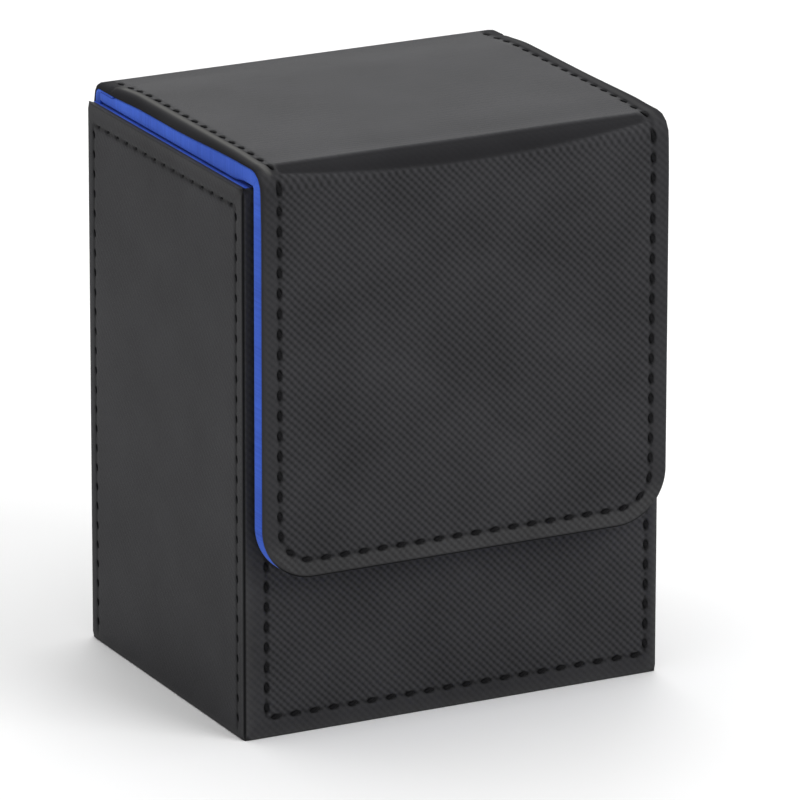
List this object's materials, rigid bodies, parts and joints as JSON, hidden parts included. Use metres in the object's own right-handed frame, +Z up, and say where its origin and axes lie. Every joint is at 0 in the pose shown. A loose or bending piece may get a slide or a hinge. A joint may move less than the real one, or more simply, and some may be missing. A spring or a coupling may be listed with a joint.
{
  "type": "card deck box",
  "caption": "Upright stitched faux-leather card box with a finger notch, a lid on a soft rear hinge and a flap that folds down over the front.",
  "frame": {"origin": "centre of the flat base that the box stands on", "axes": "+Z up, +X to the right as seen from the flap, the flap on the -Y side and the lid's hinge on the +Y side"},
  "size_m": [0.0804, 0.0662, 0.1027],
  "materials": {
    "faux_leather": "black faux leather with a fine cross-hatched emboss, satin",
    "suede_lining": "royal blue microfibre suede with a short nap",
    "greyboard": "raw grey board",
    "padding": "thin dark foam sheet",
    "thread": "black twisted polyester thread",
    "magnet": "nickel-plated disc magnet"
  },
  "bodies": {
    "box": {"bottom_cover": "faux_leather", "front_cover": "faux_leather", "rear_cover": "faux_leather", "left_cover": "faux_leather", "right_cover": "faux_leather", "bottom_board": "greyboard", "front_board": "greyboard", "rear_board": "greyboard", "left_board": "greyboard", "right_board": "greyboard", "bottom_lining": "suede_lining", "front_lining": "suede_lining", "rear_lining": "suede_lining", "left_lining": "suede_lining", "right_lining": "suede_lining", "box_magnets": "magnet", "front_stitching": "thread", "rear_stitching": "thread", "left_stitching": "thread", "right_stitching": "thread", "rear_hinge_cover": "faux_leather", "rear_hinge_lining": "suede_lining"},
    "lid": {"lid_cover": "faux_leather", "lid_board": "greyboard", "lid_padding": "padding", "lid_lining": "suede_lining", "lid_stitching": "thread", "crease_cover": "faux_leather", "crease_lining": "suede_lining"},
    "flap": {"flap_cover": "faux_leather", "flap_board": "greyboard", "flap_padding": "padding", "flap_lining": "suede_lining", "flap_magnets": "magnet", "flap_stitching": "thread"}
  },
  "joints": [
    {"name": "lid_hinge", "type": "hinge", "parent": "box", "child": "lid", "pos_m": [0, 0.029, 0.101], "axis": [-1, 0, 0], "range_deg": [0, 170], "deforming": ["rear_hinge_cover", "rear_hinge_lining"]},
    {"name": "flap_crease", "type": "hinge", "parent": "lid", "child": "flap", "pos_m": [0, -0.0342, 0.1012], "axis": [-1, 0, 0], "range_deg": [0, 90], "deforming": ["crease_cover", "crease_lining"]}
  ]
}
